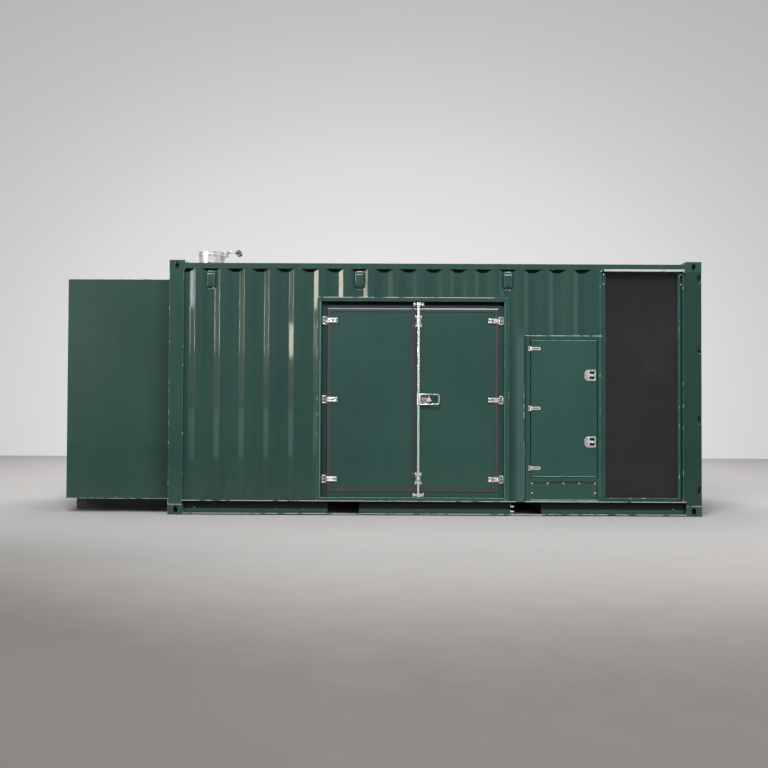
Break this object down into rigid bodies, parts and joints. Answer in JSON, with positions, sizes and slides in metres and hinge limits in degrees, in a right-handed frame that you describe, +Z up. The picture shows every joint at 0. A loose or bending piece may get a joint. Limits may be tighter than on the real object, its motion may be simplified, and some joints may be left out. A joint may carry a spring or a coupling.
{
  "type": "silent generator set in a high-cube container",
  "caption": "Green containerised silent generator set with lined double doors, control door, black inlet screen, discharge hood, fork pockets and a roof exhaust with rain cap.",
  "frame": {"origin": "on the ground, in the middle of the box round the container and its discharge hood", "axes": "+Z up; +X along the length, from the discharge hood to the end doors; the side with the control door faces -Y"},
  "size_m": [7.248, 2.538, 3.115],
  "materials": {
    "green_paint": "semi-gloss dark green coach paint",
    "stainless": "polished stainless fittings",
    "chrome_latch": "chromed die cast latches",
    "exhaust_steel": "bright bare metal, slightly wrinkled",
    "galvanised": "galvanised",
    "seal_rubber": "grey rubber door seal",
    "black_paint": "satin black",
    "black_screen": "matte black fine mesh",
    "lining_sheet": "perforated sheet over mineral wool"
  },
  "bodies": {
    "container": {"corner_castings": "green_paint", "corner_posts": "green_paint", "top_side_rails": "green_paint", "end_headers": "green_paint", "bottom_side_rails": "green_paint", "end_sills": "green_paint", "cross_members": "black_paint", "fork_pockets": "black_paint", "floor_plate": "galvanised", "roof_panel": "green_paint", "front_wall": "green_paint", "back_wall": "green_paint", "hood_end_wall": "green_paint", "wall_lining": "lining_sheet", "roof_lining": "lining_sheet", "ventilators": "green_paint", "front_door_frame": "green_paint", "back_door_frame": "green_paint", "hinge_bases": "stainless", "lock_keepers": "stainless", "back_doors": "green_paint", "back_door_fittings": "stainless", "control_door_frame": "green_paint", "gland_plate": "green_paint", "inlet_frames": "green_paint", "inlet_screens": "black_screen", "drip_bars": "stainless", "hood_panels": "green_paint", "hood_splitters": "lining_sheet", "hood_grille": "green_paint", "hood_plinth": "black_paint", "exhaust_collar": "green_paint", "exhaust_stack": "exhaust_steel", "end_doors": "green_paint", "end_door_hinges": "green_paint", "end_door_rods": "galvanised"},
    "left_leaf": {"left_door": "green_paint", "left_door_seal": "seal_rubber", "left_door_straps": "stainless"},
    "right_leaf": {"right_door": "green_paint", "right_door_seal": "seal_rubber", "right_door_straps": "stainless", "lock_bar_guides": "stainless"},
    "lock_bar_turning": {"lock_bar": "stainless", "lock_handle": "stainless"},
    "control_leaf": {"control_door": "green_paint", "control_door_straps": "stainless", "latch_bodies": "chrome_latch"},
    "upper_paddle": {"upper_latch_paddle": "chrome_latch"},
    "lower_paddle": {"lower_latch_paddle": "chrome_latch"},
    "cap_flap": {"rain_cap": "exhaust_steel"}
  },
  "joints": [
    {"name": "left_door_hinge", "type": "hinge", "parent": "container", "child": "left_leaf", "pos_m": [-0.647, -1.176, 1.313], "axis": [0, 0, -1], "range_deg": [0, 100]},
    {"name": "right_door_hinge", "type": "hinge", "parent": "container", "child": "right_leaf", "pos_m": [1.335, -1.176, 1.313], "axis": [0, 0, 1], "range_deg": [0, 100]},
    {"name": "lock_bar_turn", "type": "hinge", "parent": "right_leaf", "child": "lock_bar_turning", "pos_m": [0.408, -1.192, 1.319], "axis": [0, 0, -1], "range_deg": [0, 90]},
    {"name": "control_door_hinge", "type": "hinge", "parent": "container", "child": "control_leaf", "pos_m": [1.681, -1.227, 1.2225], "axis": [0, 0, -1], "range_deg": [0, 100]},
    {"name": "upper_paddle_lift", "type": "hinge", "parent": "control_leaf", "child": "upper_paddle", "pos_m": [2.346, -1.22, 1.6005], "axis": [0, 0, -1], "range_deg": [0, 50]},
    {"name": "lower_paddle_lift", "type": "hinge", "parent": "control_leaf", "child": "lower_paddle", "pos_m": [2.346, -1.22, 0.8445], "axis": [0, 0, -1], "range_deg": [0, 50]},
    {"name": "rain_cap_lift", "type": "hinge", "parent": "container", "child": "cap_flap", "pos_m": [-1.898, -0.6, 3.089], "axis": [0, 1, 0], "range_deg": [0, 60]}
  ]
}
